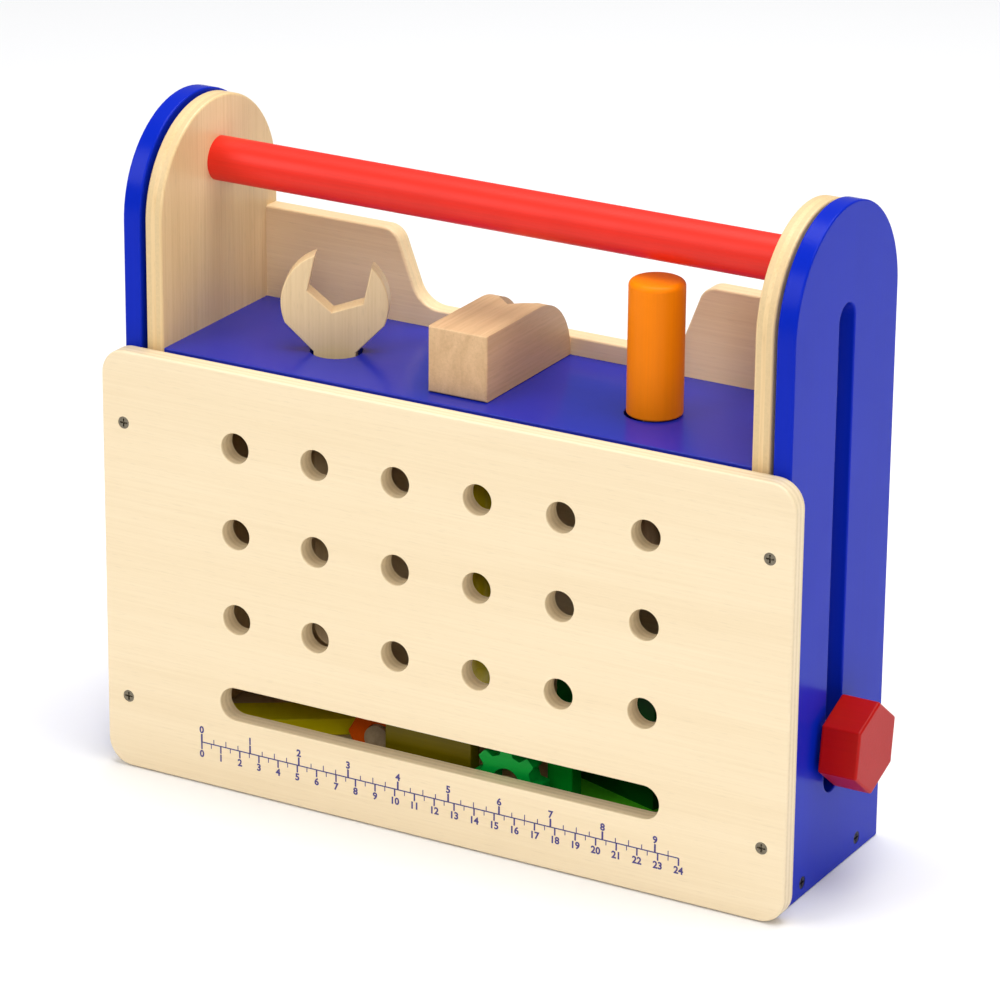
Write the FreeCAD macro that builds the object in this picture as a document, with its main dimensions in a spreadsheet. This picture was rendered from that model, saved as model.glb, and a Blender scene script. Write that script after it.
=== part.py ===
"""Toy workbench that folds into a carry box: millimetres, +X across the width, the front faces -Y, +Z up.

The origin is at the middle of the base, on the surface that the box stands on. An outer unit (front board,
two painted sides and a base) stands still. An inner unit (two plain sides, shelf, back board and carrying bar)
slides up and down between the painted sides and is clamped through their slots by two hexagonal knobs.
"""
import FreeCAD, Part
import math
import os

import Sketcher

Vec = FreeCAD.Vector

# alias, value, what it is
DIMENSIONS = [
    ("box_depth", 106, "front face of the front board to the back of the painted sides"),
    ("front_width", 340, "front board across"),
    ("front_height", 198, "front board upward"),
    ("front_thick", 9, "front board plywood"),
    ("front_corner", 12, "corner radius of the front board"),
    ("edge_round", 1.2, "sanded edge of the plywood boards"),
    ("peg_radius", 7, "peg hole"),
    ("peg_pitch_x", 40.4, "peg holes across, hole to hole"),
    ("peg_pitch_z", 40.2, "peg holes upward, hole to hole"),
    ("peg_top_z", 163.2, "height of the top row of peg holes"),
    ("tray_radius", 7.8, "half height of the long opening"),
    ("tray_half", 102.2, "centre to the middle of an end of the long opening"),
    ("tray_z", 42.1, "height of the long opening"),
    ("outer_x", 163, "outer face of a painted side"),
    ("side_thick", 8.5, "plywood of all four sides"),
    ("arch_z", 254, "height of the middle of the side arches"),
    ("outer_arch", 48.5, "arch radius of a painted side"),
    ("inner_x", 152.5, "outer face of a plain side"),
    ("inner_arch", 47.5, "arch radius of a plain side"),
    ("slot_radius", 7.3, "half width of the slot in a painted side"),
    ("slot_low_z", 46.6, "middle of the lower end of the slot"),
    ("slot_high_z", 252, "middle of the upper end of the slot"),
    ("clamp_z", 63.6, "height of the clamp axis with the inner unit down"),
    ("base_thick", 12, "base board"),
    ("rest_gap", 0.3, "gap between a moving piece and what it rests on"),
    ("shelf_top", 198.5, "top of the tool shelf"),
    ("shelf_thick", 9, "tool shelf plywood"),
    ("shelf_gap", 2, "gap between the front board and the shelf"),
    ("tool_radius", 11.5, "tool hole in the shelf"),
    ("wrench_hole", -78.2, "wrench hole position across"),
    ("driver_hole", 77.5, "screwdriver hole position across"),
    ("tool_y", -5.2, "depth position of the tool holes"),
    ("back_thick", 9, "back board plywood"),
    ("back_inset", 0.5, "back board in from the back edges of the plain sides"),
    ("back_top", 241, "top of the back board at its ends"),
    ("back_dip", 207, "top of the back board in its dip"),
    ("dip_top", 77, "half width of the dip at its top"),
    ("dip_low", 64, "half width of the dip at its bottom"),
    ("dip_round_top", 9, "outside corner of the dip"),
    ("dip_round_low", 14, "inside corner of the dip"),
    ("bar_radius", 10, "carrying bar"),
    ("bar_z", 273.3, "height of the carrying bar"),
    ("bar_seat", 4, "depth that the bar enters a plain side"),
    ("screw_shank", 1.6, "wood screw shank radius"),
    ("screw_head", 2.8, "wood screw head radius"),
    ("screw_sink", 0.15, "wood screw head below the surface"),
    ("screw_length", 22, "wood screw length"),
    ("front_screw_high", 164.5, "upper front screws"),
    ("front_screw_low", 34, "lower front screws"),
    ("base_screw_z", 6.2, "screws into the base board"),
    ("stud_radius", 4, "clamp stud"),
    ("stud_gap", 0.05, "running clearance of the stud in its tee nut"),
    ("tee_barrel", 5.5, "tee nut barrel radius"),
    ("tee_flange", 11, "tee nut flange radius"),
    ("tee_flange_thick", 1.4, "tee nut flange"),
    ("guide_radius", 7, "guide collar that runs in the slot"),
    ("washer_radius", 12, "clamp washer"),
    ("washer_thick", 1.5, "clamp washer"),
    ("knob_radius", 20.5, "clamp knob, middle to a corner of the hexagon"),
    ("knob_thick", 18.3, "clamp knob"),
    ("knob_turn", 22.3, "angle of the knob's first corner"),
    ("hammer_x", -2, "hammer position across"),
    ("hammer_width", 29, "hammer head across"),
    ("hammer_front", -31.6, "striking face of the hammer head"),
    ("hammer_back", 42.0, "claw tips of the hammer head"),
    ("hammer_tall", 29.5, "hammer head height"),
    ("claw_radius", 28, "curve of the claw"),
    ("hammer_grip", 8.5, "hammer handle radius"),
    ("hammer_low", 45, "lower end of the hammer handle"),
    ("hammer_socket", 20, "depth of the handle in the head"),
    ("wrench_thick", 10, "wrench plywood"),
    ("wrench_x", -78.6, "wrench position across"),
    ("wrench_y", -5.1, "wrench depth position"),
    ("wrench_turn", 25, "wrench turned in its hole"),
    ("wrench_head", 23.7, "wrench head radius"),
    ("wrench_head_z", 221, "middle of the wrench head"),
    ("wrench_neck", 9.3, "half width of the wrench handle"),
    ("wrench_low", 60, "lower end of the wrench"),
    ("jaw_flat", 25, "across the wrench jaw"),
    ("jaw_lean", 12, "lean of the wrench jaw"),
    ("driver_x", 79.2, "screwdriver position across"),
    ("driver_grip", 12.2, "screwdriver handle radius"),
    ("driver_top", 258.1, "top of the screwdriver handle"),
    ("driver_shank", 5, "screwdriver shank radius"),
    ("driver_low", 110, "tip of the screwdriver"),
    ("strip_length", 85, "toy strip end to end"),
    ("strip_width", 20, "toy strip across"),
    ("strip_thick", 8, "toy strip thickness"),
    ("strip_hole", 6.8, "hole radius of the loose toy pieces"),
    ("nut_flat", 28.6, "toy nut across its flats"),
    ("nut_thick", 14, "toy nut thickness"),
    ("bolt_radius", 6.5, "toy bolt radius"),
    ("bolt_head", 17, "toy bolt head radius"),
    ("bolt_length", 34, "toy bolt length under its head"),
    ("gear_root", 13, "toy gear radius at the root"),
    ("gear_tip", 17.2, "toy gear radius at the tip"),
    ("gear_thick", 9, "toy gear thickness"),
    ("plate_length", 43.4, "standing toy plate across"),
    ("plate_high", 33, "standing toy plate height"),
    ("post_wide", 12.4, "toy post across"),
    ("post_deep", 8.5, "toy post depth"),
    ("post_high", 36, "toy post height"),
    ("bracket_length", 62, "toy bracket length"),
    ("bracket_high", 70, "toy bracket height"),
    ("bracket_foot", 14, "toy bracket foot depth"),
    ("bracket_step", 10, "toy bracket plate beyond its foot"),
]

doc = FreeCAD.newDocument("toy_workbench")
sheet = doc.addObject("Spreadsheet::Sheet", "dims")
for row, (alias, value, note) in enumerate(DIMENSIONS, start=1):
    sheet.set(f"A{row}", note)
    sheet.set(f"B{row}", str(value))
    sheet.setAlias(f"B{row}", alias)
doc.recompute()

# Places that many pieces share, as expressions on the sheet
FRONT_FACE = "-dims.box_depth / 2"
FRONT_BACK = "-dims.box_depth / 2 + dims.front_thick"
BACK_FACE = "dims.box_depth / 2"
AXIS_Y = "dims.front_thick / 2"
SEAT_Z = "dims.base_thick + dims.rest_gap"
BOARD_BACK = "dims.front_thick / 2 + dims.inner_arch - dims.back_inset"
BOARD_FRONT = "dims.front_thick / 2 + dims.inner_arch - dims.back_inset - dims.back_thick"
SHELF_FRONT = "-dims.box_depth / 2 + dims.front_thick + dims.shelf_gap"
INNER_FACE = "dims.inner_x - dims.side_thick"
SIDE_MIDDLE = "dims.outer_x - dims.side_thick / 2"
TOOL_SEAT = "dims.shelf_top + dims.rest_gap"
WASHER_X = "dims.outer_x + dims.rest_gap"
KNOB_X = "dims.outer_x + 2 * dims.rest_gap + dims.washer_thick"

parts = {}


def num(expression):
    """Number that an expression on the sheet gives."""
    return float(sheet.evalExpression(str(expression)))


def bind(item, **expressions):
    """Bind properties of an object to the sheet; an underscore stands for a dot in a property's path."""
    for path, expression in expressions.items():
        item.setExpression(path.replace("_", "."), str(expression))
    return item


def place(item, x="0", y="0", z="0", axis=(0, 0, 1), angle="0"):
    """Placement bound to the sheet: a turn about an axis, then a move."""
    item.Placement = FreeCAD.Placement(Vec(0, 0, 0), FreeCAD.Rotation(Vec(*axis), num(angle)))
    bind(item, Placement_Base_x=x, Placement_Base_y=y, Placement_Base_z=z)
    if num(angle):
        item.setExpression("Placement.Rotation.Angle", str(angle))
    return item


def keep(label, item):
    """Name a finished sub-part."""
    item.Label = label
    parts[label] = item
    return item


def new_body(name):
    return doc.addObject("PartDesign::Body", name)


def new_sketch(body, plane, offset="0"):
    """Sketch on one of the body's own origin planes, moved along the plane's normal."""
    sketch = body.newObject("Sketcher::SketchObject", body.Name + "_sketch")
    support = next(item for item in body.Origin.OriginFeatures if item.Role == plane)
    sketch.AttachmentSupport = [(support, "")]
    sketch.MapMode = "FlatFace"
    sketch.setExpression("AttachmentOffset.Base.z", str(offset))
    return sketch


def hold(sketch, kind, geometry, point, expression):
    """Bind one coordinate of a point of the sketch to the sheet."""
    index = sketch.addConstraint(Sketcher.Constraint(kind, geometry, point, num(expression)))
    sketch.setExpression(f"Constraints[{index}]", str(expression))


def draw_circle(sketch, x, y, radius):
    circle = Part.Circle(Vec(num(x), num(y), 0), Vec(0, 0, 1), num(radius))
    index = sketch.addGeometry(circle, False)
    hold(sketch, "DistanceX", index, 3, x)
    hold(sketch, "DistanceY", index, 3, y)
    size = sketch.addConstraint(Sketcher.Constraint("Radius", index, num(radius)))
    sketch.setExpression(f"Constraints[{size}]", str(radius))


def draw_outline(sketch, points, arcs=None):
    """Closed outline through points of two expressions.

    arcs maps the index of a point to the centre of a counterclockwise arc that starts there, and the name of
    the centre's coordinate that is held.
    """
    arcs = arcs or {}
    corners = [Vec(num(x), num(y), 0) for x, y in points]
    first = []
    last = []
    for index, start in enumerate(corners):
        end = corners[(index + 1) % len(corners)]
        if index in arcs:
            centre = Vec(num(arcs[index][0]), num(arcs[index][1]), 0)
            middle = arc_middle(start, end, centre)
            edge = sketch.addGeometry(Part.Arc(start, middle, end), False)
            coordinate = arcs[index][2]
            hold(sketch, "Distance" + coordinate, edge, 3, arcs[index][0 if coordinate == "X" else 1])
        else:
            edge = sketch.addGeometry(Part.LineSegment(start, end), False)
        starts_here = (sketch.Geometry[edge].StartPoint - start).Length < 1e-6
        first.append((edge, 1 if starts_here else 2))
        last.append((edge, 2 if starts_here else 1))
    for index, (x, y) in enumerate(points):
        sketch.addConstraint(Sketcher.Constraint("Coincident", *last[index - 1], *first[index]))
        hold(sketch, "DistanceX", *first[index], x)
        hold(sketch, "DistanceY", *first[index], y)


def arc_middle(start, end, centre):
    """Middle point of the counterclockwise arc from start to end about centre."""
    radius = (start - centre).Length
    begin = math.atan2(start.y - centre.y, start.x - centre.x)
    finish = math.atan2(end.y - centre.y, end.x - centre.x)
    if finish <= begin + 1e-9:
        finish += 2 * math.pi
    middle = (begin + finish) / 2
    return centre + Vec(radius * math.cos(middle), radius * math.sin(middle), 0)


def rectangle(x0, y0, x1, y1):
    return [(x0, y0), (x1, y0), (x1, y1), (x0, y1)]


def pad(body, sketch, length):
    feature = body.newObject("PartDesign::Pad", body.Name + "_pad")
    feature.Profile = sketch
    bind(feature, Length=length)
    doc.recompute()
    return feature


def pocket(body, sketch, reverse=False):
    """Cut a sketch right through the body."""
    before = body.Shape.Volume
    feature = body.newObject("PartDesign::Pocket", body.Name + "_pocket")
    feature.Profile = sketch
    feature.Type = "ThroughAll"
    feature.Midplane = True
    doc.recompute()
    assert body.Shape.Volume < before, body.Name + ": the pocket cut nothing"
    return feature


def fillet(body, radius, wanted):
    """Round the edges of the body's last feature that wanted(edge) picks."""
    base = body.Tip
    names = [f"Edge{i}" for i, edge in enumerate(base.Shape.Edges, start=1) if wanted(edge)]
    feature = body.newObject("PartDesign::Fillet", body.Name + "_fillet")
    feature.Base = (base, names)
    bind(feature, Radius=radius)
    doc.recompute()
    return feature


def box(x0, x1, y0, y1, z0, z1):
    """Block between limits that are expressions."""
    item = doc.addObject("Part::Box", "block")
    bind(item, Length=f"({x1}) - ({x0})", Width=f"({y1}) - ({y0})", Height=f"({z1}) - ({z0})")
    return place(item, x0, y0, z0)


AXES = {"X": ((0, 1, 0), "90"), "-X": ((0, 1, 0), "-90"), "Y": ((1, 0, 0), "-90"), "-Y": ((1, 0, 0), "90"),
        "Z": ((0, 0, 1), "0"), "-Z": ((1, 0, 0), "180")}


def cylinder(along, x, y, z, radius, length):
    """Cylinder that starts at a point and runs along a named direction."""
    item = doc.addObject("Part::Cylinder", "round")
    bind(item, Radius=radius, Height=length)
    return place(item, x, y, z, *AXES[along])


def cone(along, x, y, z, start_radius, end_radius, length):
    item = doc.addObject("Part::Cone", "taper")
    bind(item, Radius1=start_radius, Radius2=end_radius, Height=length)
    return place(item, x, y, z, *AXES[along])


def group(items):
    item = doc.addObject("Part::Compound", "group")
    item.Links = items
    return item


def join(items):
    item = doc.addObject("Part::MultiFuse", "union")
    item.Shapes = items
    return item


def cut(base, tools):
    """Base less its tools, with a check that every cut removes something."""
    item = doc.addObject("Part::Cut", "difference")
    item.Base = base
    item.Tool = tools[0] if len(tools) == 1 else group(tools)
    doc.recompute()
    assert item.Shape.Volume < base.Shape.Volume - 1e-3, base.Name + ": the cut removed nothing"
    return item


def screw(along, x, y, z):
    """Countersunk cross-head wood screw: its head lies at the point and its tip points along a direction."""
    slope = "dims.screw_head - dims.screw_shank"
    head = cone(along, x, y, z, "dims.screw_head", "dims.screw_shank", slope)
    shank = cylinder(along, x, y, z, "dims.screw_shank", "dims.screw_length - dims.screw_shank")
    tip_at = shift(along, (x, y, z), "dims.screw_length - dims.screw_shank")
    tip = cone(along, *tip_at, "dims.screw_shank", "0.2", "dims.screw_shank")
    return cut(join([head, shank, tip]), cross_recess(along, x, y, z))


def shift(along, point, distance):
    """Point moved by a distance along a named direction."""
    sign = "-" if along.startswith("-") else "+"
    return [f"({value}) {sign} ({distance})" if name == along[-1] else value
            for name, value in zip("XYZ", point)]


def cross_recess(along, x, y, z):
    """The two crossed slots of a cross-head screw."""
    slots = []
    for turned in (False, True):
        half = {"X": 1.0, "Y": 1.0, "Z": 1.0}
        across = [name for name in "XYZ" if name != along[-1]]
        half[across[0]] = 0.38 if turned else 1.9
        half[across[1]] = 1.9 if turned else 0.38
        low_high = []
        for name, value in zip("XYZ", (x, y, z)):
            low_high += [f"({value}) - {half[name]}", f"({value}) + {half[name]}"]
        slots.append(box(*low_high))
    return slots


def screw_seat(along, x, y, z):
    """Countersunk hole for a screw whose head lies at the point; it is cut from every board on the way."""
    room = "dims.stud_gap"
    slope = "dims.screw_head - dims.screw_shank"
    bore = cylinder(along, x, y, z, f"dims.screw_shank + {room}", "dims.screw_length + 0.5")
    sink = cone(along, x, y, z, f"dims.screw_head + {room}", f"dims.screw_shank + {room}", slope)
    mouth_at = shift(along, (x, y, z), "-1")
    mouth = cylinder(along, *mouth_at, f"dims.screw_head + {room}", "1")
    return join([bore, sink, mouth])


def flat_at(axis, expression, reach=1e-4):
    """Picks the edges that lie in the plane where an axis has a value."""
    def wanted(edge):
        value = num(expression)
        limits = edge.BoundBox
        low, high = getattr(limits, axis + "Min"), getattr(limits, axis + "Max")
        return abs(low - value) < reach and abs(high - value) < reach
    return wanted


def either(*choices):
    return lambda edge: any(choice(edge) for choice in choices)


# Where the wood screws go: direction of the tip, then x, y, z
SINK_IN = {"front": f"({FRONT_FACE}) + dims.screw_sink",
           "outer": "dims.outer_x - dims.screw_sink",
           "inner": "dims.inner_x - dims.screw_sink"}
FRONT_SCREWS = [("Y", f"{side} * ({SIDE_MIDDLE})", SINK_IN["front"], height)
                for side in (-1, 1) for height in ("dims.front_screw_high", "dims.front_screw_low")]


def side_screws(face, places):
    """Screws driven inward through both sides at the same places."""
    screws = []
    for side, along in ((-1, "X"), (1, "-X")):
        for y, z in places:
            screws.append((along, f"{side} * ({SINK_IN[face]})", y, z))
    return screws


BASE_SCREWS = side_screws("outer", [("-21", "dims.base_screw_z"), ("32", "dims.base_screw_z")])
BAR_SCREWS = side_screws("inner", [(AXIS_Y, "dims.bar_z")])
SHELF_SCREWS = side_screws("inner", [(y, "dims.shelf_top - dims.shelf_thick / 2") for y in ("-24", "20")])
BACK_SCREWS = side_screws("inner", [(f"({BOARD_BACK}) - dims.back_thick / 2", z) for z in ("40", "125", "218")])


def seats(screws):
    return [screw_seat(*spot) for spot in screws]


# ---------------------------------------------------------------- outer unit

def make_front_panel():
    """Plywood front board with peg holes, the long opening and four screw seats."""
    body = new_body("front_board")
    outline = new_sketch(body, "XZ_Plane", f"-({FRONT_BACK})")
    half = "dims.front_width / 2"
    draw_outline(outline, rectangle(f"-{half}", "0", half, "dims.front_height"))
    pad(body, outline, "dims.front_thick")
    fillet(body, "dims.front_corner", lambda edge: edge.BoundBox.YLength > num("dims.front_thick") - 0.1)
    fillet(body, "dims.edge_round", either(flat_at("Y", FRONT_FACE), flat_at("Y", FRONT_BACK)))
    holes = new_sketch(body, "XZ_Plane")
    for row in range(3):
        for column in range(6):
            x = f"{column - 2.5} * dims.peg_pitch_x"
            draw_circle(holes, x, f"dims.peg_top_z - {row} * dims.peg_pitch_z", "dims.peg_radius")
    pocket(body, holes)
    opening = new_sketch(body, "XZ_Plane")
    low = "dims.tray_z - dims.tray_radius"
    high = "dims.tray_z + dims.tray_radius"
    left, right = "-dims.tray_half", "dims.tray_half"
    ends = [(left, low), (right, low), (right, high), (left, high)]
    draw_outline(opening, ends, {1: (right, "dims.tray_z", "X"), 3: (left, "dims.tray_z", "X")})
    pocket(body, opening)
    rim = flat_at("Y", FRONT_FACE)
    inside = num("dims.front_width / 2 - dims.front_corner")
    fillet(body, "dims.edge_round / 3", lambda edge: rim(edge) and max_abs_x(edge) < inside and not_outer(edge))
    keep("front_panel", cut(body, seats(FRONT_SCREWS)))


def max_abs_x(edge):
    return max(abs(edge.BoundBox.XMin), abs(edge.BoundBox.XMax))


def not_outer(edge):
    """True for an edge clear of the top and bottom of the front board."""
    return edge.BoundBox.ZMin > 10 and edge.BoundBox.ZMax < num("dims.front_height") - 10


def draw_arch(sketch, radius, bottom):
    """Side board outline: straight sides and a round top, on the clamp's centre line."""
    low = f"({AXIS_Y}) - ({radius})"
    high = f"({AXIS_Y}) + ({radius})"
    points = [(low, bottom), (high, bottom), (high, "dims.arch_z"), (low, "dims.arch_z")]
    draw_outline(sketch, points, {2: (AXIS_Y, "dims.arch_z", "Y")})


def make_outer_side(label, side):
    """Painted side with its long slot; side is -1 for the left and 1 for the right."""
    body = new_body(label + "_board")
    inner_face = f"{side} * dims.outer_x" if side < 0 else "dims.outer_x - dims.side_thick"
    outline = new_sketch(body, "YZ_Plane", inner_face)
    draw_arch(outline, "dims.outer_arch", "0")
    pad(body, outline, "dims.side_thick")
    slot = new_sketch(body, "YZ_Plane")
    low = f"({AXIS_Y}) - dims.slot_radius"
    high = f"({AXIS_Y}) + dims.slot_radius"
    points = [(low, "dims.slot_low_z"), (high, "dims.slot_low_z"),
              (high, "dims.slot_high_z"), (low, "dims.slot_high_z")]
    draw_outline(slot, points, {0: (AXIS_Y, "dims.slot_low_z", "Y"), 2: (AXIS_Y, "dims.slot_high_z", "Y")})
    pocket(body, slot)
    faces = either(flat_at("X", f"{side} * dims.outer_x"),
                   flat_at("X", f"{side} * (dims.outer_x - dims.side_thick)"))
    fillet(body, "dims.edge_round / 1.5", lambda edge: faces(edge) and edge.BoundBox.ZMax > 0.01)
    screws = [spot for spot in FRONT_SCREWS + BASE_SCREWS if num(spot[1]) * side > 0]
    keep(label, cut(body, seats(screws)))


def make_base():
    board = box("-(dims.outer_x - dims.side_thick)", "dims.outer_x - dims.side_thick", FRONT_BACK, BACK_FACE,
                "0", "dims.base_thick")
    keep("bottom_board", cut(board, seats(BASE_SCREWS)))


def make_screws(label, screws):
    keep(label, group([screw(*spot) for spot in screws]))


# ---------------------------------------------------------------- inner unit

def make_inner_side(label, side):
    """Plain plywood side with the seats of the bar, the tee nut and the screws."""
    body = new_body(label + "_board")
    inner_face = f"{side} * dims.inner_x" if side < 0 else INNER_FACE
    outline = new_sketch(body, "YZ_Plane", inner_face)
    draw_arch(outline, "dims.inner_arch", SEAT_Z)
    pad(body, outline, "dims.side_thick")
    faces = either(flat_at("X", f"{side} * dims.inner_x"), flat_at("X", f"{side} * ({INNER_FACE})"))
    fillet(body, "dims.edge_round", faces)
    outward = "X" if side > 0 else "-X"
    inner = f"{side} * ({INNER_FACE})"
    bar_seat = cylinder(outward, inner, AXIS_Y, "dims.bar_z", "dims.bar_radius", "dims.bar_seat")
    barrel = cylinder(outward, inner, AXIS_Y, "dims.clamp_z", "dims.tee_barrel", "dims.side_thick")
    flange = cylinder(outward, inner, AXIS_Y, "dims.clamp_z", "dims.tee_flange", "dims.tee_flange_thick")
    screws = [spot for spot in BAR_SCREWS + SHELF_SCREWS + BACK_SCREWS if num(spot[1]) * side > 0]
    keep(label, cut(body, [bar_seat, join([barrel, flange])] + seats(screws)))


def make_shelf():
    """Painted shelf with three round tool holes."""
    body = new_body("shelf_board")
    outline = new_sketch(body, "XY_Plane", "dims.shelf_top - dims.shelf_thick")
    draw_outline(outline, rectangle(f"-({INNER_FACE})", SHELF_FRONT, INNER_FACE, BOARD_FRONT))
    pad(body, outline, "dims.shelf_thick")
    holes = new_sketch(body, "XY_Plane")
    for place_x in ("dims.wrench_hole", "0", "dims.driver_hole"):
        draw_circle(holes, place_x, "dims.tool_y", "dims.tool_radius")
    pocket(body, holes)
    front_edge = flat_at("Y", SHELF_FRONT)
    top = flat_at("Z", "dims.shelf_top")
    hole_rim = lambda edge: top(edge) and abs(edge.BoundBox.XLength - edge.BoundBox.YLength) < 0.01
    fillet(body, "dims.edge_round / 2", lambda edge: hole_rim(edge) or (front_edge(edge) and top(edge)))
    keep("shelf", cut(body, seats(SHELF_SCREWS)))


def make_back():
    """Back board with a dip in its top edge, so that a hand reaches the tools."""
    body = new_body("back_board")
    outline = new_sketch(body, "XZ_Plane", f"-({BOARD_BACK})")
    points = [(f"-({INNER_FACE})", SEAT_Z), (INNER_FACE, SEAT_Z), (INNER_FACE, "dims.back_top"),
              ("dims.dip_top", "dims.back_top"), ("dims.dip_low", "dims.back_dip"),
              ("-dims.dip_low", "dims.back_dip"), ("-dims.dip_top", "dims.back_top"),
              (f"-({INNER_FACE})", "dims.back_top")]
    draw_outline(outline, points)
    pad(body, outline, "dims.back_thick")

    def corner_at(x, z):
        def wanted(edge):
            limits = edge.BoundBox
            across = limits.YLength > num("dims.back_thick") - 0.1
            return across and abs(abs(limits.XMin) - num(x)) < 0.1 and abs(limits.ZMin - num(z)) < 0.1
        return wanted

    fillet(body, "dims.dip_round_top", corner_at("dims.dip_top", "dims.back_top"))
    fillet(body, "dims.dip_round_low", corner_at("dims.dip_low", "dims.back_dip"))
    faces = either(flat_at("Y", BOARD_BACK), flat_at("Y", BOARD_FRONT))
    upper = lambda edge: edge.BoundBox.ZMin > num("dims.back_dip") - 1
    fillet(body, "dims.edge_round", lambda edge: faces(edge) and upper(edge) and edge.BoundBox.XLength > 0.01)
    keep("back_panel", cut(body, seats(BACK_SCREWS)))


def make_bar():
    length = f"2 * ({INNER_FACE}) + 2 * dims.bar_seat"
    bar = cylinder("X", f"-({INNER_FACE}) - dims.bar_seat", AXIS_Y, "dims.bar_z", "dims.bar_radius", length)
    keep("handle_bar", cut(bar, seats(BAR_SCREWS)))


# ---------------------------------------------------------------- clamps

def make_clamp(hand, side):
    """Tee nut, guide collar, washer, stud and hexagonal knob of one side, from the inside outward."""
    outward = "X" if side > 0 else "-X"

    def disc(start, radius, length):
        return cylinder(outward, f"{side} * ({start})", AXIS_Y, "dims.clamp_z", radius, length)

    flange = disc(INNER_FACE, "dims.tee_flange", "dims.tee_flange_thick")
    barrel = disc(INNER_FACE, "dims.tee_barrel", "dims.side_thick")
    bore = disc(INNER_FACE, "dims.stud_radius + dims.stud_gap", "dims.side_thick")
    keep("tee_nut_" + hand, cut(join([flange, barrel]), [bore]))
    collar_length = "dims.outer_x - dims.inner_x - 2 * dims.rest_gap"
    collar = disc("dims.inner_x", "dims.guide_radius", collar_length)
    collar_bore = disc("dims.inner_x", "dims.stud_radius + dims.rest_gap", collar_length)
    keep("slot_guide_" + hand, cut(collar, [collar_bore]))
    washer = disc(WASHER_X, "dims.washer_radius", "dims.washer_thick")
    washer_bore = disc(WASHER_X, "dims.stud_radius + dims.rest_gap", "dims.washer_thick")
    keep("washer_" + hand, cut(washer, [washer_bore]))
    stud_start = f"{INNER_FACE} + 1.5"
    stud_end = f"{KNOB_X} + dims.knob_thick * 0.65"
    keep("stud_" + hand, disc(stud_start, "dims.stud_radius", f"({stud_end}) - ({stud_start})"))
    body = new_body("knob_body_" + hand)
    start = KNOB_X if side > 0 else f"-({KNOB_X}) - dims.knob_thick"
    hexagon = new_sketch(body, "YZ_Plane", start)
    corners = []
    for index in range(6):
        angle = f"({side} * dims.knob_turn + {60 * index}) * 1deg"
        corners.append((f"({AXIS_Y}) + dims.knob_radius * cos({angle})",
                        f"dims.clamp_z + dims.knob_radius * sin({angle})"))
    draw_outline(hexagon, corners)
    pad(body, hexagon, "dims.knob_thick")
    fillet(body, "dims.edge_round", lambda edge: True)
    keep("knob_" + hand, cut(body, [disc(KNOB_X, "dims.stud_radius", "dims.knob_thick * 0.65")]))


# ---------------------------------------------------------------- tools on the shelf

def make_hammer():
    """Beech claw hammer head and its painted handle, which hangs through the middle tool hole."""
    body = new_body("hammer_block")
    profile = new_sketch(body, "YZ_Plane", "dims.hammer_x - dims.hammer_width / 2")
    top = f"{TOOL_SEAT} + dims.hammer_tall"
    centre_y = "dims.hammer_back - dims.claw_radius"
    centre_z = f"{top} - dims.claw_radius"
    points = [("dims.hammer_front", TOOL_SEAT), ("dims.hammer_back", TOOL_SEAT), ("dims.hammer_back", centre_z),
              (centre_y, top), ("dims.hammer_front", top)]
    draw_outline(profile, points, {2: (centre_y, centre_z, "Y")})
    pad(body, profile, "dims.hammer_width")
    notch = new_sketch(body, "XY_Plane")
    half, flare, slope = 8.5, 9.5, 8
    apex = "dims.hammer_back - 31"
    beyond = "dims.hammer_back + 1"
    points = [("dims.hammer_x", apex), (f"dims.hammer_x + {half}", f"{apex} + {slope}"),
              (f"dims.hammer_x + {flare}", beyond), (f"dims.hammer_x - {flare}", beyond),
              (f"dims.hammer_x - {half}", f"{apex} + {slope}")]
    draw_outline(notch, points)
    pocket(body, notch)
    striking = flat_at("Y", "dims.hammer_front")
    fillet(body, "dims.edge_round / 1.5", striking)
    socket = cylinder("Z", "dims.hammer_x", "dims.tool_y", TOOL_SEAT, "dims.hammer_grip", "dims.hammer_socket")
    keep("hammer_head", cut(body, [socket]))
    length = f"{TOOL_SEAT} + dims.hammer_socket - dims.hammer_low"
    grip = cylinder("Z", "dims.hammer_x", "dims.tool_y", "dims.hammer_low", "dims.hammer_grip", length)
    keep("hammer_handle", soften(grip, "dims.hammer_low", 2.5))


def soften(item, z, radius):
    """Round the circular edge of a turned piece at a height."""
    doc.recompute()
    at_height = flat_at("Z", z)
    edges = [(index, radius, radius) for index, edge in enumerate(item.Shape.Edges, start=1) if at_height(edge)]
    rounded = doc.addObject("Part::Fillet", "rounded")
    rounded.Base = item
    rounded.Edges = edges
    return rounded


def make_wrench():
    """Flat open-ended wrench: round head, leaning hexagonal jaw, tapered neck, straight handle."""
    body = new_body("wrench_blank")
    half_thick = "dims.wrench_thick / 2"
    blank = new_sketch(body, "XZ_Plane", f"-({half_thick})")
    shoulder = "dims.wrench_head * 0.92"
    shoulder_z = "dims.wrench_head_z - dims.wrench_head * 0.39"
    neck_z = "dims.shelf_top + 0.5"
    low_z = "dims.wrench_low + dims.wrench_neck"
    points = [("-dims.wrench_neck", low_z), ("dims.wrench_neck", low_z), ("dims.wrench_neck", neck_z),
              (shoulder, shoulder_z), (f"-{shoulder}", shoulder_z), ("-dims.wrench_neck", neck_z)]
    draw_outline(blank, points, {0: ("0", low_z, "Y"), 3: ("0", "dims.wrench_head_z", "Y")})
    pad(body, blank, "dims.wrench_thick")
    jaw = new_sketch(body, "XZ_Plane")
    draw_outline(jaw, jaw_corners())
    pocket(body, jaw)
    faces = either(flat_at("Y", half_thick), flat_at("Y", f"-({half_thick})"))
    fillet(body, "dims.edge_round / 2", faces)
    keep("wrench", place(body, "dims.wrench_x", "dims.wrench_y", "0", angle="dims.wrench_turn"))


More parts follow.
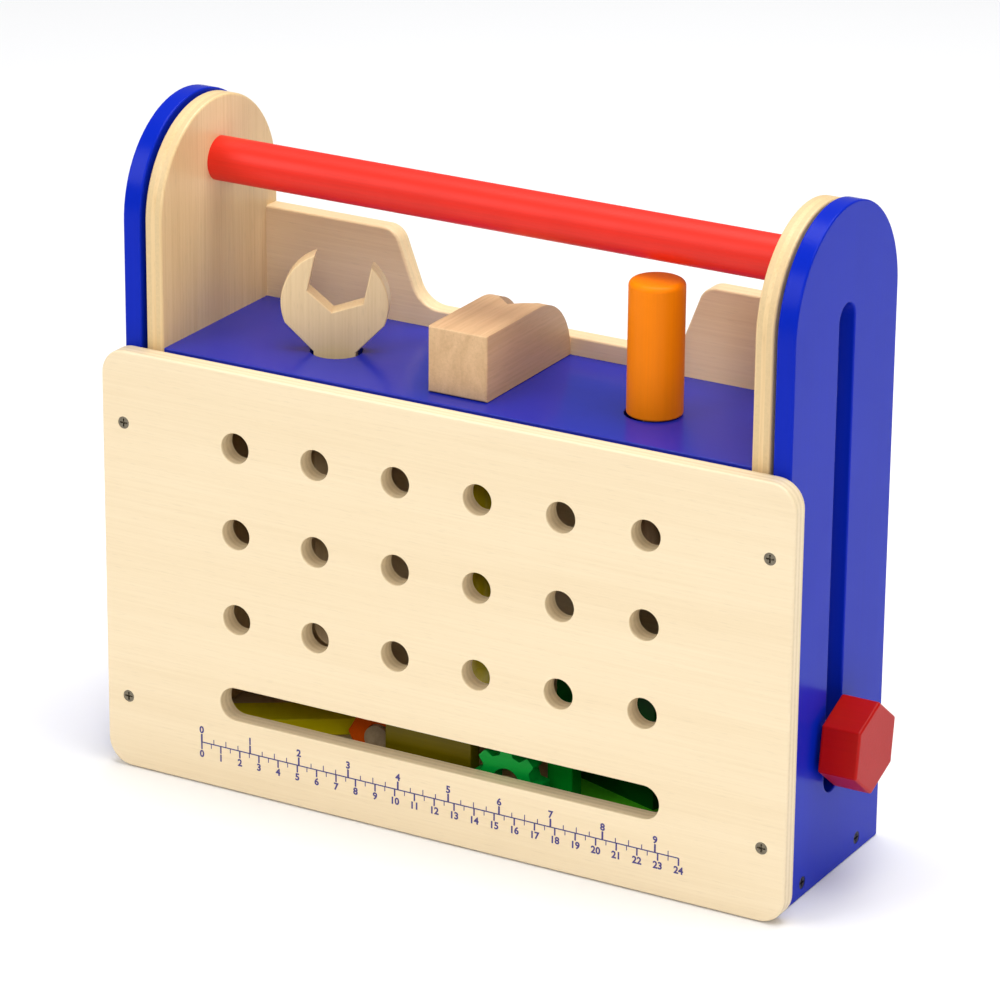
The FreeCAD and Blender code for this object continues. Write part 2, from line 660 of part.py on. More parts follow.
def jaw_corners():
    """Half a hexagon with straight walls that run out through the top of the head."""
    deep_x, deep_z = "-1.2", "dims.wrench_head_z - 3.8"
    side = "dims.jaw_flat / 1.7320508"
    lean = "dims.jaw_lean"
    right = polar(deep_x, deep_z, side, f"30 - {lean}")
    left = polar(deep_x, deep_z, side, f"150 - {lean}")
    far_right = polar(*right, "40", f"90 - {lean}")
    far_left = polar(*left, "40", f"90 - {lean}")
    return [(deep_x, deep_z), right, far_right, far_left, left]


def polar(x, z, distance, angle):
    return (f"{x} + ({distance}) * cos(({angle}) * 1deg)", f"{z} + ({distance}) * sin(({angle}) * 1deg)")


def make_screwdriver():
    """Turned handle that stands on the shelf, and a flat-tipped shank through the tool hole."""
    length = f"dims.driver_top - ({TOOL_SEAT})"
    handle = cylinder("Z", "dims.driver_x", "dims.tool_y", TOOL_SEAT, "dims.driver_grip", length)
    rounded = soften(soften(handle, "dims.driver_top", 2.6), TOOL_SEAT, 1.0)
    socket = cylinder("Z", "dims.driver_x", "dims.tool_y", TOOL_SEAT, "dims.driver_shank", "18")
    keep("screwdriver_handle", cut(rounded, [socket]))
    shank = cylinder("Z", "dims.driver_x", "dims.tool_y", "dims.driver_low", "dims.driver_shank",
                     f"{TOOL_SEAT} + 18 - dims.driver_low")
    flats = []
    for side in (-1, 1):
        near = 1.2 if side > 0 else -6
        far = 6 if side > 0 else -1.2
        flats.append(box("dims.driver_x - 6", "dims.driver_x + 6",
                         f"dims.tool_y + {near}", f"dims.tool_y + {far}",
                         "dims.driver_low - 1", "dims.driver_low + 14"))
    keep("screwdriver_shank", cut(shank, flats))


# ---------------------------------------------------------------- loose toy pieces on the base board

def make_strip():
    """Long round-ended strip with a hole at each end, lying flat on the base board."""
    body = new_body("strip_blank")
    outline = new_sketch(body, "XY_Plane")
    low, high = "-dims.strip_width / 2", "dims.strip_width / 2"
    reach = "dims.strip_length / 2 - dims.strip_width / 2"
    points = [(f"-({reach})", low), (reach, low), (reach, high), (f"-({reach})", high)]
    draw_outline(outline, points, {1: (reach, "0", "X"), 3: (f"-({reach})", "0", "X")})
    pad(body, outline, "dims.strip_thick")
    holes = new_sketch(body, "XY_Plane")
    for side in (-1, 1):
        draw_circle(holes, f"{side} * ({reach})", "0", "dims.strip_hole")
    pocket(body, holes)
    faces = either(flat_at("Z", "0"), flat_at("Z", "dims.strip_thick"))
    fillet(body, "dims.edge_round / 2", faces)
    keep("toy_strip", place(body, "-103", "-2.4", SEAT_Z, angle="32.7"))


def hexagon_body(name, radius_expression, thick):
    """Hexagonal prism about the Y axis, standing on a flat, centred on the origin."""
    body = new_body(name)
    sketch = new_sketch(body, "XZ_Plane", f"-({thick}) / 2")
    corners = [polar("0", "0", radius_expression, str(60 * index)) for index in range(6)]
    draw_outline(sketch, corners)
    pad(body, sketch, thick)
    return body


def make_toy_bolt():
    """Plain bolt whose round head is toward the back, and a painted nut on its threaded end."""
    x, y = "-43.5", "-20"
    centre_z = f"{SEAT_Z} + dims.bolt_head"
    nut_front = f"{y} - dims.nut_thick / 2"
    nut = hexagon_body("nut_blank", "dims.nut_flat / 1.7320508", "dims.nut_thick")
    fillet(nut, "dims.edge_round", lambda edge: True)
    place(nut, x, y, centre_z)
    bore = cylinder("-Y", x, f"{y} + dims.nut_thick", centre_z, "dims.bolt_radius + dims.rest_gap", "60")
    keep("toy_nut", cut(nut, [bore]))
    shank = cylinder("Y", x, f"{nut_front} - 2", centre_z, "dims.bolt_radius", "dims.bolt_length")
    grooves = []
    for index in range(9):
        start = f"{nut_front} - 0.5 + {index} * 3"
        ring = cylinder("Y", x, start, centre_z, "dims.bolt_radius + 1", "1")
        core = cylinder("Y", x, start, centre_z, "dims.bolt_radius - 0.7", "1")
        grooves.append(cut(ring, [core]))
    head = cylinder("Y", x, f"{nut_front} - 2 + dims.bolt_length", centre_z, "dims.bolt_head", "12")
    keep("toy_bolt", join([cut(shank, grooves), head]))


def make_gear():
    """Eight-tooth toy gear that stands on edge behind the long opening."""
    teeth = 8
    body = new_body("gear_blank")
    rim = new_sketch(body, "XZ_Plane", "-dims.gear_thick / 2")
    points = []
    for index in range(teeth):
        middle = 360 / teeth * (index - 2)
        for reach, turn in (("dims.gear_tip", -8), ("dims.gear_tip", 8),
                            ("dims.gear_root", 14), ("dims.gear_root", 31)):
            points.append(polar("0", "0", reach, str(middle + turn)))
    draw_outline(rim, points)
    pad(body, rim, "dims.gear_thick")
    fillet(body, "1.1", lambda edge: edge.BoundBox.YLength > num("dims.gear_thick") - 0.1)
    hole = new_sketch(body, "XZ_Plane")
    draw_circle(hole, "0", "0", "dims.strip_hole")
    pocket(body, hole)
    keep("toy_gear", place(body, "28.8", "-36.5", f"{SEAT_Z} + dims.gear_tip"))


def make_plate():
    """Small plate that stands on its long edge, with two holes near that edge."""
    body = new_body("plate_blank")
    outline = new_sketch(body, "XZ_Plane", "-dims.strip_thick / 2")
    half = "dims.plate_length / 2"
    draw_outline(outline, rectangle(f"-{half}", "0", half, "dims.plate_high"))
    pad(body, outline, "dims.strip_thick")
    fillet(body, "4", lambda edge: edge.BoundBox.YLength > num("dims.strip_thick") - 0.1)
    holes = new_sketch(body, "XZ_Plane")
    for side in (-1, 1):
        draw_circle(holes, f"{side} * dims.plate_length / 4", "11", "dims.strip_hole")
    pocket(body, holes)
    faces = either(flat_at("Y", "-dims.strip_thick / 2"), flat_at("Y", "dims.strip_thick / 2"))
    fillet(body, "dims.edge_round / 2", faces)
    keep("toy_plate", place(body, "-11.3", "-35.5", SEAT_Z))


def make_post():
    """Small square post that stands in front of the bracket."""
    body = new_body("post_blank")
    outline = new_sketch(body, "XY_Plane")
    half_wide, half_deep = "dims.post_wide / 2", "dims.post_deep / 2"
    draw_outline(outline, rectangle(f"-{half_wide}", f"-{half_deep}", half_wide, half_deep))
    pad(body, outline, "dims.post_high")
    fillet(body, "dims.edge_round / 2", lambda edge: True)
    keep("toy_post", place(body, "49.5", "-25.8", SEAT_Z))


def make_bracket():
    """Right-angle bracket: a foot on the base board and a tall drilled plate behind it."""
    body = new_body("bracket_blank")
    foot = new_sketch(body, "XY_Plane")
    draw_outline(foot, rectangle("dims.bracket_step", "-dims.bracket_foot",
                                 "dims.bracket_length", "dims.strip_thick"))
    pad(body, foot, "dims.strip_thick")
    plate = new_sketch(body, "XZ_Plane", "-dims.strip_thick")
    draw_outline(plate, rectangle("0", "0", "dims.bracket_length", "dims.bracket_high"))
    pad(body, plate, "dims.strip_thick")
    holes = new_sketch(body, "XZ_Plane")
    for x in ("dims.bracket_length * 0.25", "dims.bracket_length * 0.75"):
        draw_circle(holes, x, "dims.bracket_high - 42", "dims.strip_hole")
    pocket(body, holes)
    above_foot = lambda edge: edge.BoundBox.ZMin > num("dims.strip_thick") + 1
    fillet(body, "dims.edge_round / 2", lambda edge: edge.BoundBox.DiagonalLength > 15 and above_foot(edge))
    keep("toy_bracket", place(body, "29", "3.8", SEAT_Z, angle="-18.5"))


make_front_panel()
make_screws("front_screws", FRONT_SCREWS)
make_outer_side("outer_side_left", -1)
make_outer_side("outer_side_right", 1)
make_base()
make_screws("base_screws", BASE_SCREWS)
make_inner_side("inner_side_left", -1)
make_inner_side("inner_side_right", 1)
make_shelf()
make_back()
make_bar()
make_screws("bar_screws", BAR_SCREWS)
make_screws("shelf_screws", SHELF_SCREWS)
make_screws("back_screws", BACK_SCREWS)
make_clamp("left", -1)
make_clamp("right", 1)
make_hammer()
make_wrench()
make_screwdriver()
make_strip()
make_toy_bolt()
make_plate()
make_gear()
make_post()
make_bracket()

doc.recompute()
for item in doc.Objects:
    if "Invalid" in item.State or "Error" in item.State:
        raise RuntimeError(f"{item.Label}: {item.State}")
for label, item in parts.items():
    if item.Shape.isNull() or not item.Shape.isValid():
        raise RuntimeError(label + ": no valid shape")

os.makedirs("parts", exist_ok=True)
for label, item in parts.items():
    item.Shape.exportStep(f"parts/{label}.step")
    limits = item.Shape.BoundBox
    print(f"{label:20s} solids {len(item.Shape.Solids)}  x {limits.XMin:.1f} {limits.XMax:.1f}"
          f"  y {limits.YMin:.1f} {limits.YMax:.1f}  z {limits.ZMin:.1f} {limits.ZMax:.1f}"
          f"  volume {item.Shape.Volume / 1000:.2f} cm3")
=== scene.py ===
"""Toy workbench, a plywood tool box with a pegboard front, in a plain studio. Everything is in metres."""
import math

import bmesh
import bpy
from mathutils import Matrix, Vector


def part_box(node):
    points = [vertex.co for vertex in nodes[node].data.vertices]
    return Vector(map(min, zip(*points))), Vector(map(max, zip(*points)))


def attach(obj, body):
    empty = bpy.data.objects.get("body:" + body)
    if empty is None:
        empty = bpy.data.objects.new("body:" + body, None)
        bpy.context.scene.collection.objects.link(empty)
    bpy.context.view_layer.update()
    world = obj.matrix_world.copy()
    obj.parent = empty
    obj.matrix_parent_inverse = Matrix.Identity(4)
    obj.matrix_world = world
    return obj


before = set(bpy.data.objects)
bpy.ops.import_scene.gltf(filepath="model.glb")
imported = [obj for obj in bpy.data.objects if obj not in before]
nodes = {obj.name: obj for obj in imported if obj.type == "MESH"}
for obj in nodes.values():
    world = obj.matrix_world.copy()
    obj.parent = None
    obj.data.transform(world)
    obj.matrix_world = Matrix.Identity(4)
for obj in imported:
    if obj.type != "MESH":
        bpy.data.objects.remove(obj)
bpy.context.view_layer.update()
MM = 0.001
X, Y, Z = (1, 0, 0), (0, 1, 0), (0, 0, 1)


# ---------------------------------------------------------------- colour and node graph helpers

def srgb(red, green, blue):
    """Linear colour of a 0 to 255 display colour."""
    def linear(value):
        value /= 255
        return value / 12.92 if value <= 0.04045 else ((value + 0.055) / 1.055) ** 2.4
    return (linear(red), linear(green), linear(blue), 1.0)


def scaled(color, factor):
    """The colour made darker by a factor."""
    return [channel * factor for channel in color[:3]] + [1.0]


class Graph:
    """A material's node tree, with short calls for the nodes used here."""

    GRAIN_ALONG = 14.0
    GRAIN_ACROSS = 900.0

    def __init__(self, name):
        self.material = bpy.data.materials.new(name)
        self.material.use_nodes = True
        self.tree = self.material.node_tree
        self.shader = next(node for node in self.tree.nodes if node.type == "BSDF_PRINCIPLED")
        self.place = self.tree.nodes.new("ShaderNodeTexCoord").outputs["Object"]

    def feed(self, socket, value):
        if isinstance(value, bpy.types.NodeSocket):
            self.tree.links.new(value, socket)
        else:
            socket.default_value = value

    def math(self, operation, first, second=0.0):
        node = self.tree.nodes.new("ShaderNodeMath")
        node.operation = operation
        self.feed(node.inputs[0], first)
        self.feed(node.inputs[1], second)
        return node.outputs[0]

    def times(self, first, second):
        return self.math("MULTIPLY", first, second)

    def plus(self, first, second):
        return self.math("ADD", first, second)

    def blend(self, first, second, share):
        """Sum of two values, the first with its share and the second with the rest."""
        return self.plus(self.times(first, share), self.times(second, 1 - share))

    def dot(self, direction):
        """The place measured along a direction, in metres."""
        node = self.tree.nodes.new("ShaderNodeVectorMath")
        node.operation = "DOT_PRODUCT"
        self.feed(node.inputs[0], self.place)
        node.inputs[1].default_value = direction
        return node.outputs["Value"]

    def combine(self, x, y, z):
        node = self.tree.nodes.new("ShaderNodeCombineXYZ")
        for socket, value in zip(node.inputs, (x, y, z)):
            self.feed(socket, value)
        return node.outputs[0]

    def noise(self, vector, scale=1.0, detail=2.0, roughness=0.5, distortion=0.0):
        node = self.tree.nodes.new("ShaderNodeTexNoise")
        self.feed(node.inputs["Vector"], vector)
        settings = {"Scale": scale, "Detail": detail, "Roughness": roughness, "Distortion": distortion}
        for name, value in settings.items():
            node.inputs[name].default_value = value
        return node.outputs[0]

    def grain_space(self, grain, across, seed):
        """Place along and across the grain, in cells of noise, so that noise makes fine lines along it."""
        third = Vector(grain).cross(Vector(across))
        along = self.times(self.dot(grain), self.GRAIN_ALONG)
        side = self.plus(self.times(self.dot(across), self.GRAIN_ACROSS), seed)
        depth = self.times(self.dot(third), self.GRAIN_ACROSS)
        return along, side, depth

    def streaks(self, space, factors, detail, roughness=0.5, distortion=0.0):
        """Noise in grain space, with each of its three directions scaled by a factor."""
        vector = self.combine(*(self.times(value, factor) for value, factor in zip(space, factors)))
        return self.noise(vector, 1.0, detail, roughness, distortion)

    def span(self, value, low, high, to_low=0.0, to_high=1.0):
        node = self.tree.nodes.new("ShaderNodeMapRange")
        self.feed(node.inputs[0], value)
        for index, number in enumerate((low, high, to_low, to_high), start=1):
            node.inputs[index].default_value = number
        return node.outputs[0]

    def mix(self, factor, first, second):
        node = self.tree.nodes.new("ShaderNodeMix")
        node.data_type = "RGBA"
        self.feed(node.inputs[0], factor)
        self.feed(node.inputs[6], first)
        self.feed(node.inputs[7], second)
        return node.outputs[2]

    def bump(self, height, distance, strength):
        node = self.tree.nodes.new("ShaderNodeBump")
        node.inputs["Strength"].default_value = strength
        node.inputs["Distance"].default_value = distance
        self.feed(node.inputs["Height"], height)
        self.feed(self.shader.inputs["Normal"], node.outputs[0])

    def surface(self, **sockets):
        for name, value in sockets.items():
            self.feed(self.shader.inputs[name.replace("_", " ")], value)


# ---------------------------------------------------------------- kinds of material

def veneer_color(graph, space, light, dark, contrast, fine, flecks):
    """Face veneer: fine grain over wide bands, with short dark pores."""
    bands = graph.streaks(space, (0.12, 0.035, 0.02), 4.0, 0.55, 0.6)
    tone = graph.blend(graph.span(fine, 0.3, 0.7), graph.span(bands, 0.3, 0.7), 0.45)
    pores = graph.times(graph.span(flecks, 0.62, 0.74), 0.16 * contrast)
    return graph.mix(pores, graph.mix(graph.times(tone, contrast), light, dark), scaled(dark, 0.45))


def crossed_plies(graph, normal, face, thick, plies):
    """1 on each ply whose grain runs across, and 0 on the plies between them."""
    turn = (plies - 1) * math.pi / thick
    wobble = graph.times(graph.math("SUBTRACT", graph.noise(graph.place, 60.0, 2.0), 0.5), 0.5)
    level = graph.plus(graph.times(graph.math("SUBTRACT", graph.dot(normal), face), turn), math.pi / 2)
    return graph.span(graph.math("SINE", graph.plus(level, wobble)), -0.15, 0.15, 1.0, 0.0)


def plywood(name, grain, normal, face, thick, light, dark, core, seed, plies=7, contrast=0.7):
    """Lacquered plywood: a veneer with fine grain on its faces, and stacked plies on its edges.

    face is the place of one face along the board's normal, and thick the board's thickness.
    """
    gloss = 0.42
    graph = Graph(name)
    space = graph.grain_space(grain, tuple(Vector(normal).cross(Vector(grain))), seed)
    along, side, depth = space
    fine = graph.streaks(space, (1.0, 1.0, 1.0), 3.0, 0.6)
    flecks = graph.streaks(space, (9.0, 1.7, 1.7), 1.0)
    crossed = crossed_plies(graph, normal, face, thick, plies)
    ends = graph.noise(graph.combine(side, graph.times(along, 60.0), depth), 0.8, 2.0, 0.7)
    ply = graph.mix(graph.span(ends, 0.3, 0.75), core, scaled(core, 0.9))
    color = graph.mix(crossed, veneer_color(graph, space, light, dark, contrast, fine, flecks), ply)
    rough = graph.plus(graph.times(fine, 0.14), graph.span(crossed, 0.0, 1.0, gloss - 0.07, gloss + 0.1))
    graph.surface(Base_Color=color, Roughness=rough, Specular_IOR_Level=0.4, Coat_Weight=0.12,
                  Coat_Roughness=0.25)
    graph.bump(graph.blend(fine, flecks, 0.6), 0.12 * MM, 0.35)
    return graph.material


def board(node, grain, normal, light, dark, core, **more):
    """Plywood for a flat CAD node, whose faces are found from its box along the normal."""
    low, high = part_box(node)
    axis = normal.index(1)
    return plywood(node + "_ply", grain, normal, low[axis], high[axis] - low[axis], light, dark, core, **more)


def solid_wood(name, grain, across, light, dark, seed):
    """Plain turned or sawn beech: growth bands, fine fibres and short dark flecks."""
    contrast = 0.7
    graph = Graph(name)
    space = graph.grain_space(grain, across, seed)
    rings = graph.streaks(space, (0.25, 0.22, 0.08), 3.0, 0.5, 0.8)
    fine = graph.streaks(space, (1.0, 1.0, 1.0), 3.0, 0.6)
    flecks = graph.streaks(space, (11.0, 1.3, 1.3), 0.0)
    tone = graph.blend(graph.span(fine, 0.3, 0.7), graph.span(rings, 0.3, 0.7), 0.4)
    spots = graph.times(graph.span(flecks, 0.6, 0.7), 0.10 * contrast)
    color = graph.mix(spots, graph.mix(graph.times(tone, contrast), light, dark), scaled(dark, 0.4))
    graph.surface(Base_Color=color, Roughness=graph.span(fine, 0.2, 0.8, 0.39, 0.53))
    graph.bump(fine, 0.15 * MM, 0.35)
    return graph.material


def paint(name, color, grain, across, seed, gloss=0.3, specular=0.15, coat=0.0, depth=0.10 * MM, shade=0.82,
          above=None):
    """Satin paint on wood: slight unevenness, faint grain and the fine texture of a sprayed coat.

    above is a height and a second colour painted over that height, which stands in for shade there: painted
    shade.
    """
    graph = Graph(name)
    lines = graph.streaks(graph.grain_space(grain, across, seed), (1.0, 1.0, 1.0), 2.0)
    cloud = graph.noise(graph.place, 22.0, 3.0, 0.6)
    spray = graph.noise(graph.place, 900.0, 2.0, 0.5)
    tone = graph.blend(graph.span(cloud, 0.3, 0.7), graph.span(lines, 0.3, 0.7), 0.6)
    coat_color = graph.mix(tone, color, scaled(color, shade))
    if above:
        height, second = above
        # Painted shade: over the given height the coat takes the darker second colour.
        painted_shade_mask = graph.span(graph.dot(Z), height, height + 0.2 * MM)
        coat_color = graph.mix(painted_shade_mask, coat_color, graph.mix(tone, second, scaled(second, shade)))
    rough = graph.span(cloud, 0.25, 0.75, gloss - 0.04, gloss + 0.05)
    graph.surface(Base_Color=coat_color, Roughness=rough, Specular_IOR_Level=specular, Coat_Weight=coat,
                  Coat_Roughness=0.16)
    graph.bump(graph.blend(lines, spray, 0.5), depth, 0.4)
    return graph.material


def metal(name, color, rough=0.32):
    """Zinc-plated steel with fine scratches."""
    graph = Graph(name)
    scratch = graph.noise(graph.place, 1200.0, 3.0, 0.7)
    wear = graph.span(scratch, 0.3, 0.7)
    graph.surface(Base_Color=graph.mix(wear, color, scaled(color, 0.7)), Metallic=1.0,
                  Roughness=graph.span(scratch, 0.3, 0.7, rough - 0.08, rough + 0.12))
    graph.bump(scratch, 0.04 * MM, 0.4)
    return graph.material


def ink(name, color):
    """Printed ink, a little uneven where the wood's pores show through."""
    graph = Graph(name)
    speckle = graph.noise(graph.place, 2600.0, 2.0, 0.6)
    faded = [min(1.0, channel * 1.9 + 0.02) for channel in color[:3]] + [1.0]
    graph.surface(Base_Color=graph.mix(graph.span(speckle, 0.5, 0.8), color, faded), Roughness=0.55)
    return graph.material


# ---------------------------------------------------------------- the CAD nodes' materials

def flat_turn(degrees):
    """Direction along a piece turned about the upright axis, and the level direction across it."""
    angle = math.radians(degrees)
    return (math.cos(angle), math.sin(angle), 0.0), (-math.sin(angle), math.cos(angle), 0.0)


def wrench_ply():
    """Plywood for the wrench, which stands turned in its hole, so its faces are found about its middle."""
    thick = 10 * MM
    normal = flat_turn(25)[1]
    low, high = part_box("wrench")
    face = ((low + high) / 2).dot(Vector(normal)) - thick / 2
    return plywood("wrench_ply", Z, normal, face, thick, srgb(242, 214, 166), srgb(212, 178, 128),
                   srgb(236, 208, 160), seed=31.0)


STRIP_ALONG, STRIP_ACROSS = flat_turn(32.7)
BRACKET_FOOT_TOP = 20.35 * MM
INNER_SIDE = (srgb(242, 212, 160), srgb(206, 168, 112), srgb(224, 194, 144))

boards = {
    "front_panel": board("front_panel", X, Y, srgb(246, 226, 190), srgb(226, 200, 156), srgb(236, 214, 174),
                         contrast=0.5, seed=3.0),
    "inner_side_left": board("inner_side_left", Z, X, *INNER_SIDE, plies=5, seed=11.0),
    "inner_side_right": board("inner_side_right", Z, X, *INNER_SIDE, plies=5, seed=17.0),
    "back_panel": board("back_panel", X, Y, srgb(248, 222, 176), srgb(220, 186, 136), srgb(240, 214, 168),
                        plies=5, contrast=0.6, seed=23.0),
    "bottom_board": board("bottom_board", X, Z, srgb(240, 220, 180), srgb(214, 184, 138), srgb(206, 172, 122),
                          plies=9, seed=29.0),
    "wrench": wrench_ply(),
}
woods = {
    "hammer_head": solid_wood("beech_block", Y, X, srgb(226, 187, 140), srgb(190, 149, 104), 37.0),
    # The bolt's darker, greyer beech is painted shade, where it sits in the box's shadow.
    "toy_bolt": solid_wood("beech_bolt_with_painted_shade", Y, X, srgb(178, 158, 126), srgb(132, 112, 84), 41.0),
    "screwdriver_shank": solid_wood("beech_shank", Z, X, srgb(226, 190, 146), srgb(178, 134, 92), 43.0),
    "slot_guide_left": solid_wood("beech_collar", X, Y, srgb(222, 186, 142), srgb(176, 132, 90), 47.0),
}
paints = {
    "handle_bar": paint("red_paint", srgb(238, 42, 24), X, Y, gloss=0.42, specular=0.3, seed=5.0),
    "knob_left": paint("knob_red_paint", srgb(186, 14, 6), X, Y, gloss=0.36, specular=0.16, depth=0.16 * MM,
                       shade=0.86, seed=9.0),
    "outer_side_left": paint("blue_paint_side", srgb(6, 38, 182), Z, Y, gloss=0.22, specular=0.09, shade=0.9,
                             seed=13.0),
    "shelf": paint("blue_paint_shelf", srgb(26, 40, 166), X, Y, gloss=0.2, specular=0.26, shade=0.9,
                   seed=15.0),
    "hammer_handle": paint("yellow_paint", srgb(240, 214, 0), Z, X, specular=0.5, coat=0.25, seed=19.0),
    "screwdriver_handle": paint("orange_paint", srgb(255, 136, 0), Z, X, gloss=0.4, specular=0.12, shade=0.88,
                                seed=27.0),
    "toy_strip": paint("strip_yellow_paint", srgb(255, 242, 0), STRIP_ALONG, STRIP_ACROSS, shade=0.92,
                       seed=21.0),
    # The plate's olive is its yellow paint darkened as painted shade, where it stands in the box's shadow.
    "toy_plate": paint("plate_yellow_with_painted_shade", srgb(112, 98, 0), X, Z, shade=0.6, seed=25.0),
    "toy_nut": paint("nut_orange_paint", srgb(226, 90, 8), Y, X, seed=33.0),
    "toy_gear": paint("gear_green_paint", srgb(0, 160, 58), X, Z, seed=35.0),
    "toy_post": paint("post_green_paint", srgb(0, 150, 40), Z, X, seed=39.0),
    # The bracket's upright plate is painted dark green as painted shade, and its foot bright green as painted
    # light on its lit top.
    "toy_bracket": paint("bracket_green_painted_light_and_shade", srgb(96, 225, 40), X, Z, seed=45.0,
                         above=(BRACKET_FOOT_TOP, srgb(0, 84, 20))),
}
metals = {
    "tee_nut_left": metal("zinc", srgb(196, 198, 202)),
    "front_screws": metal("screw_steel", srgb(128, 120, 104), 0.3),
    "base_screws": metal("dark_screw_steel", srgb(52, 50, 66), 0.4),
}
materials = boards | woods | paints | metals
shared = {
    "outer_side_right": "outer_side_left",
    "slot_guide_right": "slot_guide_left",
    "knob_right": "knob_left",
}
for plated in ("tee_nut_right", "washer_left", "washer_right", "stud_left", "stud_right"):
    shared[plated] = "tee_nut_left"
for screws in ("bar_screws", "shelf_screws", "back_screws"):
    shared[screws] = "front_screws"
for name, node in nodes.items():
    node.data.materials.clear()
    node.data.materials.append(materials[shared.get(name, name)])


# ---------------------------------------------------------------- the printed ruler

INK_DEPTH = 0.04 * MM
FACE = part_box("front_panel")[0].y
BASE_LINE = 20.2 * MM
RULER_START = -120 * MM
CM, INCH = 10 * MM, 25.4 * MM
CM_COUNT, INCH_COUNT = 24, 9
DIGIT_HEIGHT, DIGIT_GAP = 3.2 * MM, 0.5 * MM
CAPITAL_SHARE = 0.70
LINE, THIN = 0.55 * MM, 0.42 * MM


def bar(mesh, x, z, wide, high):
    """Thin printed rectangle whose middle is at x and whose low edge is at z."""
    corners = []
    for y in (FACE - INK_DEPTH, FACE + INK_DEPTH):
        for across, up in ((-0.5, 0), (0.5, 0), (0.5, 1), (-0.5, 1)):
            corners.append(mesh.verts.new((x + across * wide, y, z + up * high)))
    for face in ((0, 1, 2, 3), (7, 6, 5, 4), (0, 4, 5, 1), (1, 5, 6, 2), (2, 6, 7, 3), (3, 7, 4, 0)):
        mesh.faces.new([corners[i] for i in face])


def number(mesh, value, x, z):
    """Printed number centred on x, with its foot at z."""
    curve = bpy.data.curves.new("digits", "FONT")
    curve.body = str(value)
    curve.size = DIGIT_HEIGHT / CAPITAL_SHARE
    curve.align_x = "CENTER"
    curve.extrude = INK_DEPTH
    curve.offset = DIGIT_HEIGHT * 0.05
    curve.resolution_u = 3
    holder = bpy.data.objects.new("digits", curve)
    bpy.context.scene.collection.objects.link(holder)
    shape = bpy.data.meshes.new_from_object(holder.evaluated_get(bpy.context.evaluated_depsgraph_get()))
    shape.transform(Matrix.Translation((x, FACE, z)) @ Matrix.Rotation(math.pi / 2, 4, "X"))
    mesh.from_mesh(shape)
    bpy.data.objects.remove(holder)
    bpy.data.meshes.remove(shape)


def centimetre_ticks(mesh):
    """Half-centimetre ticks below the base line, numbered at each centimetre."""
    for step in range(2 * CM_COUNT + 1):
        x = RULER_START + step * CM / 2
        whole = step % 2 == 0
        long, wide = (3.5 * MM, 0.75 * MM) if whole else (2.2 * MM, THIN)
        bar(mesh, x, BASE_LINE - long, wide, long)
        if whole:
            number(mesh, step // 2, x, BASE_LINE - long - DIGIT_GAP - DIGIT_HEIGHT)


def inch_ticks(mesh):
    """Quarter-inch ticks above the base line, numbered at each inch and running one tick past the last."""
    for step in range(4 * INCH_COUNT + 2):
        x = RULER_START + step * INCH / 4
        whole = step % 4 == 0
        part = 2.8 * MM if step % 2 == 0 else 2.3 * MM
        long, wide = (3.9 * MM, 0.9 * MM) if whole else (part, THIN)
        bar(mesh, x, BASE_LINE, wide, long)
        if whole:
            number(mesh, step // 4, x, BASE_LINE + long + DIGIT_GAP)


def make_ruler():
    mesh = bmesh.new()
    bar(mesh, RULER_START + CM_COUNT * CM / 2, BASE_LINE - LINE / 2, CM_COUNT * CM, LINE)
    centimetre_ticks(mesh)
    inch_ticks(mesh)
    bmesh.ops.remove_doubles(mesh, verts=mesh.verts, dist=1e-7)
    data = bpy.data.meshes.new("ruler_print")
    mesh.to_mesh(data)
    mesh.free()
    piece = bpy.data.objects.new("ruler_print", data)
    bpy.context.scene.collection.objects.link(piece)
    data.materials.append(ink("ruler_ink", srgb(60, 50, 118)))
    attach(piece, "outer_unit")


make_ruler()


# ---------------------------------------------------------------- floor, lights and camera

def make_floor():
    """Wide sheet of matt white paper just under the object's base."""
    mesh = bmesh.new()
    bmesh.ops.create_grid(mesh, x_segments=2, y_segments=2, size=12.0)
    data = bpy.data.meshes.new("floor")
    mesh.to_mesh(data)
    mesh.free()
    floor = bpy.data.objects.new("floor", data)
    floor.location = (0, 0, -0.5 * MM)
    bpy.context.scene.collection.objects.link(floor)
    graph = Graph("floor_paper")
    paper = graph.mix(graph.noise(graph.place, 3.0, 2.0), (0.90, 0.90, 0.905, 1), (0.92, 0.92, 0.92, 1))
    graph.surface(Base_Color=paper, Roughness=0.9, Specular_IOR_Level=0.1)
    data.materials.append(graph.material)


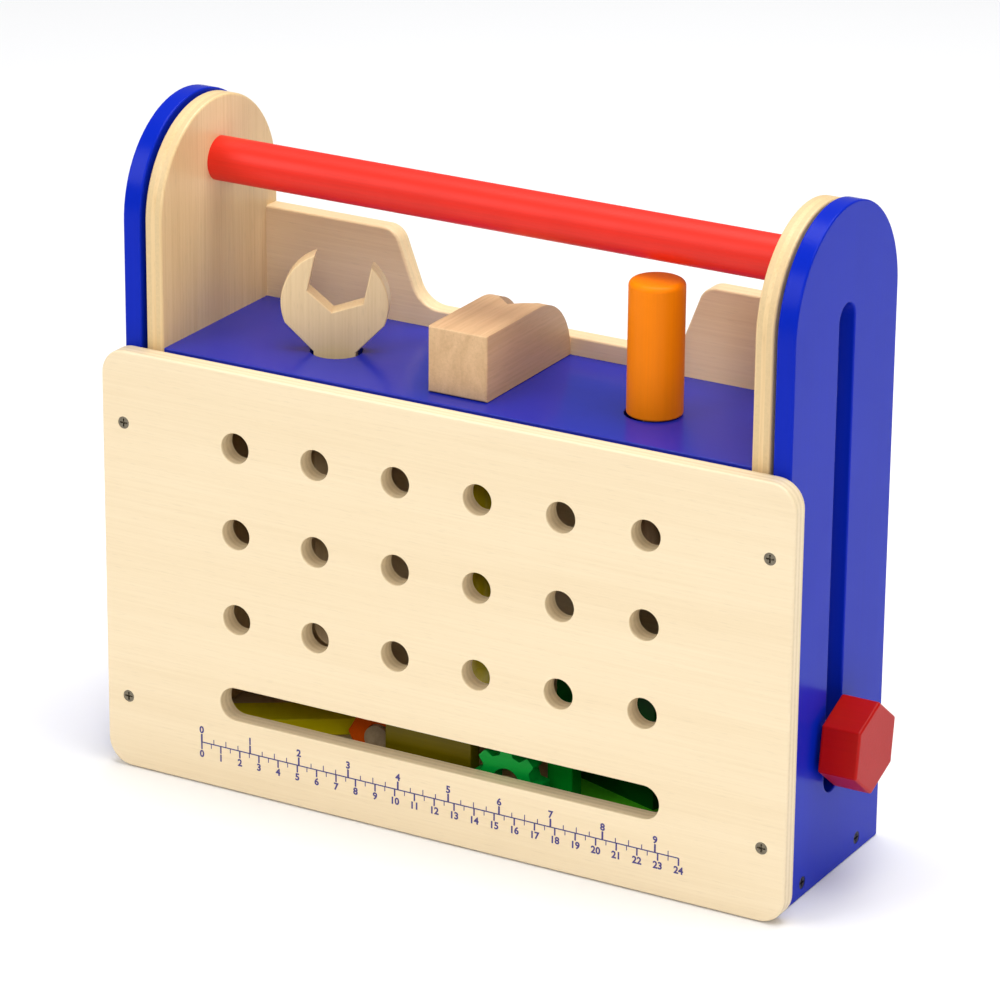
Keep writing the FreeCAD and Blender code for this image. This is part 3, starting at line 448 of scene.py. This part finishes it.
def softbox(name, place, aim, size, watts):
    data = bpy.data.lights.new(name, "AREA")
    data.shape = "RECTANGLE"
    data.size, data.size_y = size
    data.energy = watts
    lamp = bpy.data.objects.new(name, data)
    lamp.location = place
    lamp.rotation_mode = "QUATERNION"
    lamp.rotation_quaternion = (Vector(aim) - Vector(place)).to_track_quat("-Z", "Y")
    bpy.context.scene.collection.objects.link(lamp)


def make_surroundings():
    """Dim even light from all around."""
    world = bpy.data.worlds.new("studio")
    world.use_nodes = True
    glow = next(node for node in world.node_tree.nodes if node.type == "BACKGROUND")
    glow.inputs["Color"].default_value = (0.97, 0.98, 1.0, 1)
    glow.inputs["Strength"].default_value = 0.28
    bpy.context.scene.world = world


def make_camera():
    """Camera to the object's front right and above it, turned a little about its own line of sight."""
    azimuth, elevation, roll = (math.radians(angle) for angle in (29.40, 20.93, 0.536))
    level = math.cos(elevation)
    backward = Vector((math.sin(azimuth) * level, -math.cos(azimuth) * level, math.sin(elevation)))
    right = Vector((math.cos(azimuth), math.sin(azimuth), 0))
    axes = Matrix((right, backward.cross(right), backward)).transposed() @ Matrix.Rotation(roll, 3, "Z")
    data = bpy.data.cameras.new("camera")
    data.sensor_width = 36
    data.lens = 179.46
    data.clip_start, data.clip_end = 0.05, 60
    camera = bpy.data.objects.new("camera", data)
    camera.matrix_world = Matrix.Translation((0.99542, -1.76375, 0.91650)) @ axes.to_4x4()
    bpy.context.scene.collection.objects.link(camera)
    bpy.context.scene.camera = camera


make_floor()
softbox("key", (-1.3, -1.75, 1.6), aim=(0, 0, 0.12), size=(1.3, 1.3), watts=21)
softbox("front", (1.3, -2.1, 1.45), aim=(0, 0, 0.06), size=(0.7, 0.6), watts=13.5)
softbox("top", (0.2, 0.3, 2.6), aim=(0, 0, 0), size=(2.6, 2.0), watts=74)
softbox("right", (2.6, -0.4, 1.1), aim=(0, 0, 0.15), size=(1.6, 1.4), watts=9)
make_surroundings()
make_camera()
bpy.context.scene.view_settings.view_transform = "Standard"
